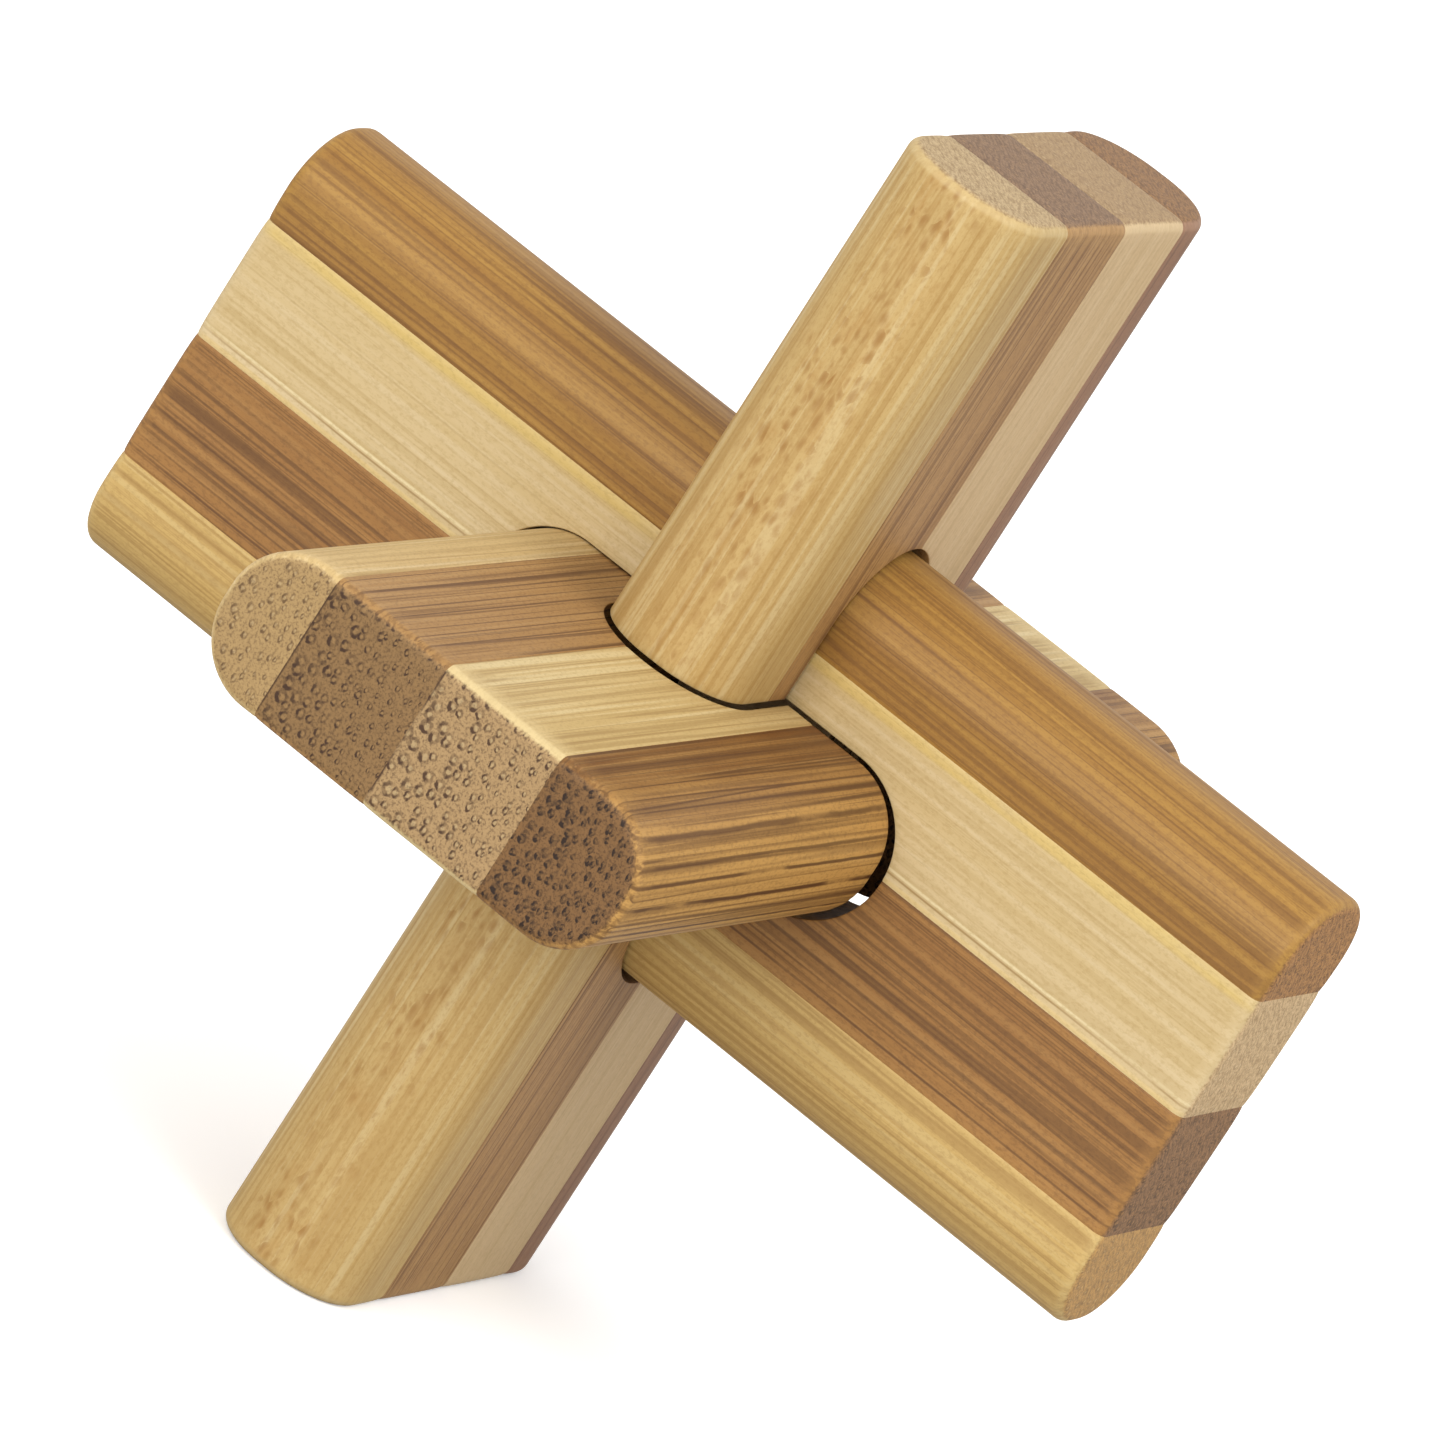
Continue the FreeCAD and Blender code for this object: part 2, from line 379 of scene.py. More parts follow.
def stripObject(name, boardName, low, high, ends, opening):
    strip = planStrip(boards[boardName], low, high, ends, opening)
    work = closeStrip(upperSheet(strip))
    sandAndTurn(work, boardName)
    for face in work.faces:
        face.smooth = True
    bmesh.ops.recalc_face_normals(work, faces=work.faces)
    mesh = bpy.data.meshes.new(name)
    work.to_mesh(mesh)
    work.free()
    mesh.set_sharp_from_angle(angle=math.radians(boardShape["sharpAngle"]))
    detail = bpy.data.objects.new(name, mesh)
    bpy.context.scene.collection.objects.link(detail)
    evenShading = detail.modifiers.new("even shading", "WEIGHTED_NORMAL")
    evenShading.keep_sharp = True
    return detail


# shader building blocks


def colour(text):
    # "#c8a060" to the linear colour the shaders work in
    parts = [int(text[i:i + 2], 16) / 255 for i in (1, 3, 5)]
    return [c / 12.92 if c < 0.04045 else ((c + 0.055) / 1.055) ** 2.4 for c in parts] + [1.0]


def newGroup(name, inputs, outputs):
    group = bpy.data.node_groups.new(name, "ShaderNodeTree")
    for label, kind, value in inputs:
        socket = group.interface.new_socket(label, in_out="INPUT", socket_type="NodeSocket" + kind)
        if value is not None:
            socket.default_value = value
    for label in outputs:
        group.interface.new_socket(label, in_out="OUTPUT", socket_type="NodeSocketFloat")
    return group, group.nodes.new("NodeGroupInput").outputs, group.nodes.new("NodeGroupOutput").inputs


def useGroup(tree, group, **values):
    node = tree.nodes.new("ShaderNodeGroup")
    node.node_tree = group
    for label, value in values.items():
        feed(tree, node.inputs[label.replace("_", " ")], value)
    return node.outputs


def feed(tree, socket, value):
    if isinstance(value, bpy.types.NodeSocket):
        tree.links.new(value, socket)
    else:
        socket.default_value = value


def maths(tree, operation, a, b=None, c=None, clamp=False):
    node = tree.nodes.new("ShaderNodeMath")
    node.operation = operation
    node.use_clamp = clamp
    for i, value in enumerate((a, b, c)):
        if value is not None:
            feed(tree, node.inputs[i], value)
    return node.outputs[0]


def vectorMaths(tree, operation, a, b=None, scale=None):
    node = tree.nodes.new("ShaderNodeVectorMath")
    node.operation = operation
    feed(tree, node.inputs[0], a)
    if b is not None:
        feed(tree, node.inputs[1], b)
    if scale is not None:
        feed(tree, node.inputs["Scale"], scale)
    return node.outputs["Value" if operation in ("LENGTH", "DOT_PRODUCT") else "Vector"]


def ramp(tree, value, start, end, low=0.0, high=1.0):
    # soft step: low at start, high at end
    node = tree.nodes.new("ShaderNodeMapRange")
    node.interpolation_type = "SMOOTHSTEP"
    feed(tree, node.inputs["Value"], value)
    feed(tree, node.inputs["From Min"], start)
    feed(tree, node.inputs["From Max"], end)
    feed(tree, node.inputs["To Min"], low)
    feed(tree, node.inputs["To Max"], high)
    return node.outputs["Result"]


def blendColour(tree, share, a, b):
    node = tree.nodes.new("ShaderNodeMix")
    node.data_type = "RGBA"
    factor, first, second = node.inputs[0], node.inputs[6], node.inputs[7]  # its colour sockets
    feed(tree, factor, share)
    feed(tree, first, a)
    feed(tree, second, b)
    return node.outputs[2]


def tint(tree, below, mask, amount, text):
    # a colour laid over the one below where the mask is
    return blendColour(tree, maths(tree, "MULTIPLY", mask, amount), below, colour(text))


def split(tree, vector):
    node = tree.nodes.new("ShaderNodeSeparateXYZ")
    feed(tree, node.inputs[0], vector)
    return node.outputs[0], node.outputs[1], node.outputs[2]


def join(tree, x, y, z):
    node = tree.nodes.new("ShaderNodeCombineXYZ")
    for socket, value in zip(node.inputs, (x, y, z)):
        feed(tree, socket, value)
    return node.outputs[0]


def noiseField(tree, vector, scale, detail, roughness=0.5):
    node = tree.nodes.new("ShaderNodeTexNoise")
    feed(tree, node.inputs["Vector"], vector)
    feed(tree, node.inputs["Scale"], scale)
    node.inputs["Detail"].default_value = detail
    node.inputs["Roughness"].default_value = roughness
    return node.outputs


def scatter(tree, vector, scale, randomness=1.0):
    # points scattered over a plane: the way from the nearest one, and three chances it draws
    node = tree.nodes.new("ShaderNodeTexVoronoi")
    node.voronoi_dimensions = "2D"
    feed(tree, node.inputs["Vector"], vector)
    feed(tree, node.inputs["Scale"], scale)
    node.inputs["Randomness"].default_value = randomness
    away = vectorMaths(tree, "SUBTRACT", vector, node.outputs["Position"])
    return away, split(tree, node.outputs["Color"])


# the vascular bundles; a pair is where a part begins and where it is full, in shares of the radius
bundlePattern = {
    "wander": (0.05, 0.12, 0.12),  # how quickly the fibres drift, along, across and through
    "straying": 0.72,              # 0 for even rows of bundles, 1 for pure chance
    "frayScale": 4.5,
    "fray": 0.2,                   # how ragged a bundle is
    "smallest": 0.75,              # a bundle's least size, and what chance adds to it
    "sizeSpread": 0.5,
    "hole": (0.3, 0.62),
    "edge": (1.12, 0.82),
    "coreHighlight": (0.6, 0.2),
    "lobeCount": 2.0,
    "lobes": (-0.9, 0.3, 0.4, 1.0),
    # the side of every bundle's sheath that is darkened as painted shade
    "paintedShadeSide": (-0.75, -0.66, 0.0),
    "paintedShadeAmount": (0.4, 0.8),       # how much painted shade that side gets, and the mean
    "weakest": 0.7,                # the palest sheath, and what chance adds to it
    "strengthSpread": 0.7,
    "poreScale": 3.1,
    "poreSpread": 0.16,            # many pores come out too small to show
    "poreShift": -0.065,
    "leastPore": 0.012,
    "poreCore": 0.01,
}


def buildBundleGroup():
    # dots with a dark sheath on a cut end, long dark streaks on a face
    pattern = bundlePattern
    group, given, result = newGroup(
        "bamboo bundles",
        [("Position", "Vector", None), ("Across", "Float", 0.0), ("Spacing", "Float", 0.75),
         ("Large", "Float", 0.25), ("Small", "Float", 0.15), ("Crowding", "Float", 2.0),
         ("Lean Across", "Float", 0.0), ("Lean Through", "Float", 0.0),
         ("Wander", "Float", 0.06), ("Hollow", "Float", 1.0), ("Seed", "Float", 0.0)],
        ["Sheath", "Core Highlight", "Pores"],
    )
    middle = (0.5, 0.5, 0.5)
    along, across, through = split(group, given["Position"])

    # the fibres lean and wander a little
    slow = vectorMaths(group, "MULTIPLY", given["Position"], pattern["wander"])
    slow = vectorMaths(group, "ADD", slow, join(group, given["Seed"], given["Seed"], 0.0))
    drift = vectorMaths(group, "SUBTRACT", noiseField(group, slow, 1.0, 1.0)["Color"], middle)
    drift = split(group, vectorMaths(group, "SCALE", drift, scale=given["Wander"]))
    y = maths(group, "MULTIPLY_ADD", along, given["Lean Across"], across)
    z = maths(group, "MULTIPLY_ADD", along, given["Lean Through"], through)
    y = maths(group, "ADD", y, drift[1])
    z = maths(group, "ADD", z, drift[2])

    # the bundles stand closer together towards the culm's skin
    crowd = maths(group, "POWER", given["Across"], 2.0)
    y = maths(group, "MULTIPLY_ADD", crowd, given["Crowding"], y)
    spot = join(group, y, maths(group, "ADD", z, given["Seed"]), 0.0)
    frayed = noiseField(group, spot, pattern["frayScale"], 2.0)["Color"]
    frayed = vectorMaths(group, "SUBTRACT", frayed, middle)
    frayed = vectorMaths(group, "MULTIPLY", frayed, (pattern["fray"], pattern["fray"], 0.0))
    spot = vectorMaths(group, "ADD", spot, frayed)
    density = maths(group, "DIVIDE", 1.0, given["Spacing"])
    away, chances = scatter(group, spot, density, pattern["straying"])
    smaller = maths(group, "SUBTRACT", given["Small"], given["Large"])
    size = maths(group, "ADD", given["Large"], maths(group, "MULTIPLY", given["Across"], smaller))
    luck = maths(group, "MULTIPLY_ADD", chances[0], pattern["sizeSpread"], pattern["smallest"])
    size = maths(group, "MULTIPLY", size, luck)
    share = maths(group, "DIVIDE", vectorMaths(group, "LENGTH", away), size)

    # a dark sheath in two lobes round a core with a painted highlight, and painted shade on one side of
    # the sheath
    solid = maths(group, "SUBTRACT", 1.0, given["Hollow"])
    hole = maths(group, "MAXIMUM", ramp(group, share, *pattern["hole"]), solid)
    ring = maths(group, "MULTIPLY", ramp(group, share, *pattern["edge"]), hole)
    awayY, awayZ = split(group, away)[:2]
    start = maths(group, "MULTIPLY", chances[2], math.tau)
    turn = maths(group, "ARCTAN2", awayZ, awayY)
    turn = maths(group, "MULTIPLY_ADD", turn, pattern["lobeCount"], start)
    lobes = ramp(group, maths(group, "COSINE", turn), *pattern["lobes"])
    aim = vectorMaths(group, "DOT_PRODUCT", vectorMaths(group, "NORMALIZE", away), pattern["paintedShadeSide"])
    paintedSideShade = maths(group, "MULTIPLY_ADD", aim, *pattern["paintedShadeAmount"])
    strength = maths(group, "MULTIPLY_ADD", chances[1], pattern["strengthSpread"], pattern["weakest"])
    strength = maths(group, "MULTIPLY", paintedSideShade, strength)
    sheath = maths(group, "MULTIPLY", maths(group, "MULTIPLY", ring, lobes), strength, clamp=True)
    feed(group, result["Sheath"], sheath)
    # the core of a bundle, which the cut end paints paler as a painted highlight
    coreHighlight = ramp(group, share, *pattern["coreHighlight"])
    feed(group, result["Core Highlight"], maths(group, "MULTIPLY", coreHighlight, given["Hollow"]))

    # single vessels between the bundles
    away, chances = scatter(group, spot, pattern["poreScale"])
    size = maths(group, "MULTIPLY_ADD", chances[0], pattern["poreSpread"], pattern["poreShift"])
    size = maths(group, "MAXIMUM", size, pattern["leastPore"])
    pores = ramp(group, vectorMaths(group, "LENGTH", away), size, pattern["poreCore"])
    feed(group, result["Pores"], pores)
    return group


# fibres along a strip; a pair is where a mark begins and where it is full, then its least and its most
fibrePattern = {
    "leanThrough": 0.8,            # of the lean across
    "bandScale": 0.75,
    "threadScale": 0.5,            # of the fineness of the fibres
    "thread": (0.045, 0.008),
    "threadBands": (0.38, 0.58, 0.15, 1.0),
    "mottleStretch": 0.22,
    "mottleScale": 0.55,
    "grainStretch": (0.5, 1.0, 1.0),
    "grainScale": 7.0,
}


def buildFibreGroup():
    # fine fibres that run the length of a strip, and the broader bands between them
    pattern = fibrePattern
    group, given, result = newGroup(
        "bamboo fibres",
        [("Position", "Vector", None), ("Fineness", "Float", 3.2), ("Stretch", "Float", 0.008),
         ("Lean Across", "Float", 0.0), ("Seed", "Float", 0.0)],
        ["Lines", "Threads", "Bands", "Mottle", "Grain"],
    )
    along, across, through = split(group, given["Position"])
    run = maths(group, "MULTIPLY", along, given["Stretch"])
    y = maths(group, "MULTIPLY_ADD", along, given["Lean Across"], across)
    z = maths(group, "MULTIPLY", given["Lean Across"], pattern["leanThrough"])
    z = maths(group, "MULTIPLY_ADD", along, z, through)
    fibre = join(group, run, maths(group, "ADD", y, given["Seed"]), z)
    feed(group, result["Lines"], noiseField(group, fibre, given["Fineness"], 2.0, 0.55)["Fac"])
    bands = noiseField(group, fibre, pattern["bandScale"], 2.0)["Fac"]
    feed(group, result["Bands"], bands)

    # a thread lies where a coarser noise crosses its middle
    coarse = maths(group, "MULTIPLY", given["Fineness"], pattern["threadScale"])
    coarse = noiseField(group, fibre, coarse, 1.0, 0.4)["Fac"]
    crossing = maths(group, "ABSOLUTE", maths(group, "SUBTRACT", coarse, 0.5))
    gathered = ramp(group, bands, *pattern["threadBands"])
    threads = maths(group, "MULTIPLY", ramp(group, crossing, *pattern["thread"]), gathered)
    feed(group, result["Threads"], threads)

    # soft patches, and a grain as fine as dust
    soft = maths(group, "MULTIPLY", along, pattern["mottleStretch"])
    soft = join(group, soft, maths(group, "ADD", across, given["Seed"]), through)
    feed(group, result["Mottle"], noiseField(group, soft, pattern["mottleScale"], 3.0, 0.6)["Fac"])
    dust = vectorMaths(group, "MULTIPLY", given["Position"], pattern["grainStretch"])
    feed(group, result["Grain"], noiseField(group, dust, pattern["grainScale"], 2.0, 0.7)["Fac"])
    return group


cutPattern = {
    "ragged": 0.2,                 # how far the grain moves the edge of the cut
    "sawn": (0.76, 0.97),          # how squarely a face stands to the fibres
    "eased": (0.1, 0.4),
    "scratchSlant": 0.8,
    "scratchFineness": 4.5,
    "scratchScale": 1.2,
    "scratch": (0.42, 0.64),
}


def buildCutEndGroup():
    # where the fibres were cut across, the eased band just beside it, and the sanding marks on it
    pattern = cutPattern
    group, given, result = newGroup(
        "cut across the fibres",
        [("Position", "Vector", None), ("Normal Along", "Float", 0.0), ("Roughen", "Float", 0.5)],
        ["End", "Rim", "Sanding"],
    )
    ragged = maths(group, "MULTIPLY_ADD", given["Roughen"], pattern["ragged"], -pattern["ragged"] / 2)
    facing = maths(group, "ADD", maths(group, "ABSOLUTE", given["Normal Along"]), ragged)
    end = ramp(group, facing, *pattern["sawn"])
    feed(group, result["End"], end)
    beside = maths(group, "SUBTRACT", 1.0, end)
    feed(group, result["Rim"], maths(group, "MULTIPLY", ramp(group, facing, *pattern["eased"]), beside))
    along, across, through = split(group, given["Position"])
    slant = maths(group, "MULTIPLY_ADD", across, pattern["scratchSlant"], through)
    square = maths(group, "MULTIPLY_ADD", through, -pattern["scratchSlant"], across)
    scratch = join(group, maths(group, "MULTIPLY", slant, pattern["scratchFineness"]), square, along)
    scratch = noiseField(group, scratch, pattern["scratchScale"], 3.0, 0.65)["Fac"]
    feed(group, result["Sanding"], ramp(group, scratch, *pattern["scratch"]))
    return group


speckPattern = {
    "stretch": 0.42,
    "scale": 2.5,
    "wavyScale": 1.3,
    "wavy": (0.5, 0.5, 0.0),
    "size": (0.2, 0.07),           # what chance adds to a speck's size, and its least
    "strength": (0.7, 0.2),
    "edge": (1.25, 0.1),
    "bandFull": 0.6,
    "patchScale": 0.13,
    "patches": (0.34, 0.58, 0.25, 1.0),
    "cloudScale": 1.1,
    "clouds": (0.45, 0.7),
}


def buildSpeckGroup():
    # short brown specks of the culm's skin, gathered in a band along the strip
    pattern = speckPattern
    group, given, result = newGroup(
        "skin specks",
        [("Position", "Vector", None), ("Band Width", "Float", 3.0), ("Seed", "Float", 0.0)],
        ["Specks", "Clouds"],
    )
    along, across, through = split(group, given["Position"])
    drawnOut = maths(group, "MULTIPLY", along, pattern["stretch"])
    spot = join(group, drawnOut, maths(group, "ADD", through, given["Seed"]), 0.0)
    wavy = noiseField(group, spot, pattern["wavyScale"], 3.0)["Color"]
    spot = vectorMaths(group, "ADD", spot, vectorMaths(group, "MULTIPLY", wavy, pattern["wavy"]))
    away, chances = scatter(group, spot, pattern["scale"])
    size = maths(group, "MULTIPLY_ADD", maths(group, "POWER", chances[0], 2.0), *pattern["size"])
    share = maths(group, "DIVIDE", vectorMaths(group, "LENGTH", away), size)
    strength = maths(group, "MULTIPLY_ADD", chances[0], *pattern["strength"])
    speck = maths(group, "MULTIPLY", ramp(group, share, *pattern["edge"]), strength)
    band = ramp(group, maths(group, "ABSOLUTE", through), given["Band Width"], pattern["bandFull"])
    patchy = vectorMaths(group, "SCALE", given["Position"], scale=pattern["patchScale"])
    patchy = ramp(group, noiseField(group, patchy, 1.0, 2.0)["Fac"], *pattern["patches"])
    band = maths(group, "MULTIPLY", band, patchy)
    feed(group, result["Specks"], maths(group, "MULTIPLY", speck, band))
    clouds = noiseField(group, spot, pattern["cloudScale"], 3.0, 0.6)["Fac"]
    clouds = ramp(group, clouds, *pattern["clouds"])
    feed(group, result["Clouds"], maths(group, "MULTIPLY", clouds, band))
    return group


bundleGroup = buildBundleGroup()
fibreGroup = buildFibreGroup()
cutEndGroup = buildCutEndGroup()
speckGroup = buildSpeckGroup()

# what a strip has where its board's look and its own entry don't say otherwise
stripDefaults = {
    "toneAcross": 0.3,        # how far the colour drifts from the low side to the other
    "toneBands": 0.9,
    "toneMottle": 0.6,
    "darkLines": 0.35,
    "brightLines": 0.25,
    "streaks": 0.5,           # bundles seen along a long face
    "dots": 0.8,              # bundles seen on a cut end
    "spacing": 0.75,
    "large": 0.25,            # radius of a bundle on the low side, and on the other
    "small": 0.15,
    "crowding": 2.0,
    "hollow": 1.0,            # 1 for rings round a core with a painted highlight, 0 for solid dots
    "leanAcross": 0.006,
    "leanThrough": 0.001,
    "wander": 0.06,
    "fineness": 3.2,
    "stretch": 0.008,
    "threads": 0.5,           # thin dark lines along a face
    "lines": [],              # (distance from the low side, width, strength, colour) of single lines
    "edgeLines": [],          # (height, width, strength) of dark lines along a rounded edge
    "worn": 0.4,              # how far the pattern is rubbed away beside an end
    "wornReach": 1.4,
    "sanding": 0.6,           # diagonal marks left on the ends
    "specks": 0.0,
    "glueLine": 0.0,          # thin dark line of glue on the low side, seen on the ends
    "grit": 0.28,             # fine dark grain all over
    "endGrit": 0.5,
    "rimSandingAndHighlight": 0.28,              # how much paler the eased band beside an end is: partly sanding, partly painted highlight
}

# marks that every strip shares, as in the patterns above
marks = {
    "darkLine": (0.53, 0.62),
    "brightLine": (0.47, 0.36),
    "streak": (0.3, 0.8),
    "grit": (0.45, 0.68),
    "endGrit": (0.45, 0.66),
    "waver": (0.12, -0.06),        # how far a single line strays, and the middle of that
    "edgeWaver": (0.3, -0.15),
    "breaks": (0.3, 0.5, 0.35, 1.0),
    "edgeBreaks": (0.36, 0.5, 0.3),
    "glueBreaks": (0.35, 0.55, 0.3, 1.0),
    "glueWidth": (0.13, 0.04),
    "wornFull": 0.5,               # distance from the end where the rubbing is full
    "clouds": 0.5,                 # strengths, of the specks, of the dots and of the painted highlight on the bundle cores
    "pores": 0.55,
    "coreHighlight": 0.22,
}

# the surface that every strip shares
finish = {
    "roughness": 0.43,
    "fibreRoughness": 0.18,   # what the fibres and the sawn ends add to that
    "endRoughness": 0.15,
    "specular": 0.35,
    "bump": 0.35,
    "bumpDepth": 0.000015,    # in metres
    "sheathDepth": -0.2,
    "endSheathRise": 0.17,    # on the ends the sheaths are nearly flush
    "threadDepth": -0.5,
    "grainHeight": 0.5,
}


def strays(tree, value, amount):
    # how far a value strays from its middle
    return maths(tree, "MULTIPLY", maths(tree, "SUBTRACT", value, 0.5), amount)


def readStrip(tree, values, boardName, low, high):
    # where a point lies in the board and in the strip, and what the shared patterns do there
    source = tree.nodes.new("ShaderNodeTexCoord").outputs
    axes = boards[boardName]["axes"]
    point = split(tree, source["Object"])
    point = join(tree, point[axes[0]], point[axes[1]], point[axes[2]])
    position = vectorMaths(tree, "SCALE", point, scale=mm)
    along, across, through = split(tree, position)
    share = tree.nodes.new("ShaderNodeMapRange")
    feed(tree, share.inputs["Value"], across)
    feed(tree, share.inputs["From Min"], low)
    feed(tree, share.inputs["From Max"], high)
    share = share.outputs["Result"]
    fibres = useGroup(
        tree, fibreGroup, Position=position, Fineness=values["fineness"], Stretch=values["stretch"],
        Lean_Across=values["leanAcross"], Seed=values["seed"])
    bundles = useGroup(
        tree, bundleGroup, Position=position, Across=share, Spacing=values["spacing"],
        Large=values["large"], Small=values["small"], Crowding=values["crowding"],
        Lean_Across=values["leanAcross"], Lean_Through=values["leanThrough"],
        Wander=values["wander"], Hollow=values["hollow"], Seed=values["seed"])
    normalAlong = split(tree, source["Normal"])[axes[0]]
    cut = useGroup(
        tree, cutEndGroup, Position=position, Normal_Along=normalAlong, Roughen=fibres["Grain"])
    fromMiddle = maths(tree, "ABSOLUTE", along)
    return {
        "position": position, "across": across, "through": through, "share": share,
        "fromEnd": maths(tree, "SUBTRACT", boards[boardName]["halfLength"], fromMiddle),
        "fromLow": maths(tree, "SUBTRACT", across, low),
        "fibres": fibres, "bundles": bundles, "cut": cut,
        "mottle": strays(tree, fibres["Mottle"], values["toneMottle"]),
    }


def longFaceColour(tree, values, wood):
    fibres, mottled = wood["fibres"], wood["fibres"]["Mottle"]
    tone = strays(tree, wood["share"], values["toneAcross"])
    tone = maths(tree, "ADD", tone, strays(tree, fibres["Bands"], values["toneBands"]))
    tone = maths(tree, "ADD", tone, maths(tree, "ADD", wood["mottle"], 0.5), clamp=True)
    face = blendColour(tree, tone, colour(values["pale"]), colour(values["deep"]))
    darker = ramp(tree, fibres["Lines"], *marks["darkLine"])
    face = tint(tree, face, darker, values["darkLines"], values["streak"])
    lighter = ramp(tree, fibres["Lines"], *marks["brightLine"])
    face = tint(tree, face, lighter, values["brightLines"], values["bright"])
    face = tint(tree, face, fibres["Threads"], values["threads"], values["streak"])

    # single lines, which waver a little and break up
    for offset, width, strength, text in values["lines"]:
        waver = maths(tree, "MULTIPLY_ADD", mottled, marks["waver"][0], marks["waver"][1] - offset)
        line = maths(tree, "ABSOLUTE", maths(tree, "ADD", wood["fromLow"], waver))
        line = ramp(tree, line, width, width * 0.25)
        line = maths(tree, "MULTIPLY", line, ramp(tree, mottled, *marks["breaks"]))
        face = tint(tree, face, line, strength, text)
    for height, width, strength in values["edgeLines"]:
        waver = maths(tree, "MULTIPLY_ADD", mottled, marks["edgeWaver"][0], marks["edgeWaver"][1] - height)
        line = maths(tree, "ABSOLUTE", maths(tree, "ADD", wood["through"], waver))
        line = ramp(tree, line, width, width * 0.3)
        broken = ramp(tree, mottled, *marks["edgeBreaks"], strength)
        face = tint(tree, face, line, broken, values["streak"])

    streaks = ramp(tree, wood["bundles"]["Sheath"], *marks["streak"])
    face = tint(tree, face, streaks, values["streaks"], values["streak"])
    worn = ramp(tree, wood["fromEnd"], values["wornReach"], marks["wornFull"])
    face = tint(tree, face, worn, values["worn"], values["pale"])
    if values["specks"]:
        skin = useGroup(tree, speckGroup, Position=wood["position"], Seed=values["seed"])
        face = tint(tree, face, skin["Clouds"], values["specks"] * marks["clouds"], values["speckSoft"])
        face = tint(tree, face, skin["Specks"], values["specks"], values["speck"])
    grit = ramp(tree, fibres["Grain"], *marks["grit"])
    face = tint(tree, face, grit, values["grit"], values["streak"])
    # the eased band beside an end is painted paler, partly for sanding and partly as a painted highlight
    return tint(tree, face, wood["cut"]["Rim"], values["rimSandingAndHighlight"], values["bright"])


def cutEndColour(tree, values, wood):
    fibres, bundles, dark = wood["fibres"], wood["bundles"], values["endDot"]
    tone = maths(tree, "MULTIPLY_ADD", wood["mottle"], 0.8, 0.5, clamp=True)
    end = blendColour(tree, tone, colour(values["endPale"]), colour(values["endDeep"]))
    end = tint(tree, end, ramp(tree, fibres["Grain"], *marks["endGrit"]), values["endGrit"], dark)
    end = tint(tree, end, wood["cut"]["Sanding"], values["sanding"], dark)
    # the bundle cores painted paler: a painted highlight
    end = tint(tree, end, bundles["Core Highlight"], marks["coreHighlight"], values["bright"])
    end = tint(tree, end, bundles["Pores"], values["dots"] * marks["pores"], dark)
    end = tint(tree, end, bundles["Sheath"], values["dots"], dark)
    if values["glueLine"]:
        line = ramp(tree, maths(tree, "ABSOLUTE", wood["fromLow"]), *marks["glueWidth"])
        line = maths(tree, "MULTIPLY", line, ramp(tree, fibres["Mottle"], *marks["glueBreaks"]))
        end = tint(tree, end, line, values["glueLine"], dark)
    return end


def bambooMaterial(name, boardName, low, high, values):
    material = bpy.data.materials.new(name)
    material.use_nodes = True
    tree = material.node_tree
    shader = tree.nodes["Principled BSDF"]
    wood = readStrip(tree, values, boardName, low, high)
    fibres, sawn = wood["fibres"], wood["cut"]["End"]
    face = longFaceColour(tree, values, wood)
    end = cutEndColour(tree, values, wood)
    feed(tree, shader.inputs["Base Color"], blendColour(tree, sawn, face, end))
    rough = maths(tree, "MULTIPLY_ADD", fibres["Lines"], finish["fibreRoughness"], finish["roughness"])
    rough = maths(tree, "MULTIPLY_ADD", sawn, finish["endRoughness"], rough)
    feed(tree, shader.inputs["Roughness"], rough)
    shader.inputs["Specular IOR Level"].default_value = finish["specular"]

    sunk = maths(tree, "MULTIPLY_ADD", sawn, finish["endSheathRise"], finish["sheathDepth"])
    height = maths(tree, "MULTIPLY_ADD", wood["bundles"]["Sheath"], sunk, fibres["Lines"])
    height = maths(tree, "MULTIPLY_ADD", fibres["Threads"], finish["threadDepth"], height)
    height = maths(tree, "MULTIPLY_ADD", fibres["Grain"], finish["grainHeight"], height)
    bump = tree.nodes.new("ShaderNodeBump")
    bump.inputs["Strength"].default_value = finish["bump"]
    bump.inputs["Distance"].default_value = finish["bumpDepth"]
    feed(tree, bump.inputs["Height"], height)
    feed(tree, shader.inputs["Normal"], bump.outputs["Normal"])
    return material


def reachedEnds(box, axis):
    # -1 and 1 for the board ends that a strip reaches; a half strip reaches only one
    ends = [(-1, -box[0][axis] * mm), (1, box[1][axis] * mm)]
    return [end for end, reach in ends if reach > boardShape["slotLength"]]


def makeStrips(boardName, looks, shared, opening=0):
    # one material for a strip, and the same one on both halves where the opening cut it in two
    board = boards[boardName]
    alongAxis, acrossAxis = board["axes"][:2]
    for stripName, look in looks.items():
        whole = boardName + "_" + stripName + "_strip"
        nodes = [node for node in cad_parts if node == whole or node.startswith(whole + "_")]
        low = min(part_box(node)[0][acrossAxis] for node in nodes) * mm
        high = max(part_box(node)[1][acrossAxis] for node in nodes) * mm
        values = {**stripDefaults, **shared, **look}
        material = bambooMaterial(boardName + " " + stripName + " bamboo", boardName, low, high, values)
        for node in nodes:
            ends = reachedEnds(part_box(node), alongAxis)
            side = opening if len(ends) == 1 else 0
            strip = stripObject(node + "_detail", boardName, low, high, ends, side)
            strip.data.materials.append(material)
            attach(strip, board["body"])
            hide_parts(node)
    print(boardName, "board done")


# plain board

